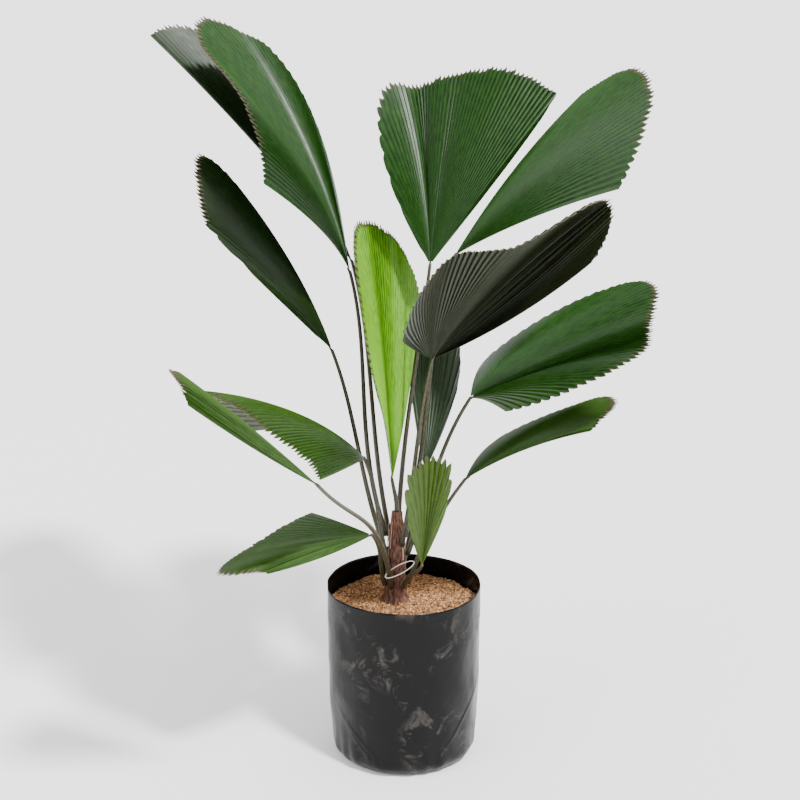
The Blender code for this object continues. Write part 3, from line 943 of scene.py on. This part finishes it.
def bag_profile():
    """Radius and height of the bag's outside, from the middle of its base up to its rim."""
    foot = BAG_FOOT_RADIUS - BAG_CORNER
    arc = np.radians(np.linspace(0, 90, CORNER_ROWS))[1:]
    wall = np.linspace(WALL_START, BAG_HEIGHT, WALL_ROWS)
    radius = np.concatenate([np.linspace(BAG_CORE, foot, BASE_ROWS), foot + BAG_CORNER * np.sin(arc),
                             np.interp(wall, WALL_HEIGHTS, WALL_RADII)])
    height = np.concatenate([np.zeros(BASE_ROWS), BAG_CORNER - BAG_CORNER * np.cos(arc), wall])
    return radius, height


def make_bag():
    """Outside = profile + relief, turned round the axis; inside = the same, one wall further in."""
    radius, height = bag_profile()
    angle = np.linspace(-np.pi, np.pi, BAG_SIDES, endpoint=False)
    z, a = np.meshgrid(height, angle, indexing="ij")
    r = radius[:, None] + film_relief(a, z) * np.clip(z / RELIEF_START, 0, 1)
    z = z + RIM_WAVE * np.sin(3 * a + 1) * np.clip((z - RIM_START) / (BAG_HEIGHT - RIM_START), 0, 1)
    outer = np.stack([r * np.cos(a), r * np.sin(a), z], -1)
    inner = np.stack([(r - BAG_WALL) * np.cos(a), (r - BAG_WALL) * np.sin(a), np.maximum(z, BAG_WALL)], -1)
    points = np.concatenate([outer, inner[::-1]]).reshape(-1, 3)
    piece = mesh_piece("film_bag", points, capped_rings(2 * len(height), BAG_SIDES))
    piece.data.materials.append(FILM)
    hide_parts("bag")
    return r


bag_radii = make_bag()
print("bag radius at most", bag_radii.max().round(4))

# %% [markdown]
# ## Tie
# A thin pale tie is looped loosely round the stalks and leans forward on the trunk. It is trim
# without a solid of its own, so a tube round a tilted oval is all that it needs.

# %% Make the tie
TIE_CENTRE = np.array([-0.006, -0.026, 0.300])
TIE_HALF_WIDTH = 0.021
TIE_HALF_DEPTH = 0.006
TIE_SLANT = 0.011
TIE_HALF_HEIGHT = 0.005
TIE_RADIUS = 0.0008
TIE_STEPS = 60
TIE_SIDES = 8
TIE_COLOUR = (0.75, 0.66, 0.58, 1.0)


def make_tie():
    """Oval: centre + (width * cos, depth * sin, slant * cos + height * sin), as a thin tube."""
    u = np.linspace(0, 2 * np.pi, TIE_STEPS)
    oval = np.stack([TIE_HALF_WIDTH * np.cos(u), TIE_HALF_DEPTH * np.sin(u),
                     TIE_SLANT * np.cos(u) + TIE_HALF_HEIGHT * np.sin(u)], -1)
    points, faces, uv = tube(TIE_CENTRE + oval, np.full(TIE_STEPS, TIE_RADIUS), TIE_SIDES)
    piece = mesh_piece("tie_loop", points, faces, uv)
    made, _, shader = new_material("pale tie", 0.5)
    shader.inputs["Base Color"].default_value = TIE_COLOUR
    piece.data.materials.append(made)


make_tie()
print("tie made")

# %% [markdown]
# ## Camera, floor and light
# The plant is seen from a little above, through a long lens from nearly three metres. A pale
# floor, an even white sky and one sun-like key from the upper right give the bright look of
# daylight, and a weak light from the left keeps the shaded leaves readable. An image of a sky
# would light it too, but this needs no file.

# %% Camera
FOCAL_PIXELS = 2065.0
FRAME_PIXELS = 800.0
SENSOR_MM = 36.0
CAMERA_PLACE = (-0.0055, -2.8, 1.5)
CAMERA_PITCH_DOWN = 18.7

camera = bpy.data.objects.new("camera", bpy.data.cameras.new("camera"))
camera.data.sensor_width = SENSOR_MM
camera.data.lens = FOCAL_PIXELS / FRAME_PIXELS * SENSOR_MM
camera.location = CAMERA_PLACE
camera.rotation_euler = (math.radians(90 - CAMERA_PITCH_DOWN), 0, 0)
bpy.context.scene.collection.objects.link(camera)
bpy.context.scene.camera = camera
print("lens", round(camera.data.lens, 1), "mm")

# %% Floor
FLOOR_HALF = 20
FLOOR_COLOUR = (0.95, 0.95, 0.95, 1.0)


def make_floor():
    """A wide flat sheet under the bag, plain and pale."""
    mesh = bpy.data.meshes.new("floor")
    corners = [(-FLOOR_HALF, -FLOOR_HALF, 0), (FLOOR_HALF, -FLOOR_HALF, 0),
               (FLOOR_HALF, FLOOR_HALF, 0), (-FLOOR_HALF, FLOOR_HALF, 0)]
    mesh.from_pydata(corners, [], [(0, 1, 2, 3)])
    floor = bpy.data.objects.new("floor", mesh)
    bpy.context.scene.collection.objects.link(floor)
    made, _, shader = new_material("pale floor", 0.9)
    shader.inputs["Base Color"].default_value = FLOOR_COLOUR
    mesh.materials.append(made)


make_floor()
print("floor made")

# %% Light
SKY_STRENGTH = 1.6


def add_light(data, energy, place, aim):
    """A light object at a place, turned to look at a point."""
    data.energy = energy
    light = bpy.data.objects.new(data.name, data)
    away = np.array(aim, float) - np.array(place, float)
    yaw = math.atan2(away[1], away[0]) - math.pi / 2
    pitch = math.atan2(away[2], math.hypot(away[0], away[1]))
    light.location = place
    light.rotation_euler = (math.pi / 2 + pitch, 0, yaw)
    bpy.context.scene.collection.objects.link(light)


key = bpy.data.lights.new("key", "SUN")
key.angle = math.radians(7.0)
add_light(key, 5.0, (1.3, -1.5, 3.4), (0, 0, 0.5))
fill = bpy.data.lights.new("fill", "AREA")
fill.size = 2.0
add_light(fill, 40.0, (-2.2, -2.0, 1.8), (0, 0, 0.6))

world = bpy.data.worlds.new("studio")
world.use_nodes = True
sky = world.node_tree.nodes["Background"]
sky.inputs["Color"].default_value = (1.0, 1.0, 1.0, 1.0)
sky.inputs["Strength"].default_value = SKY_STRENGTH
bpy.context.scene.world = world
print("lights:", key.name, fill.name, "and a white sky")
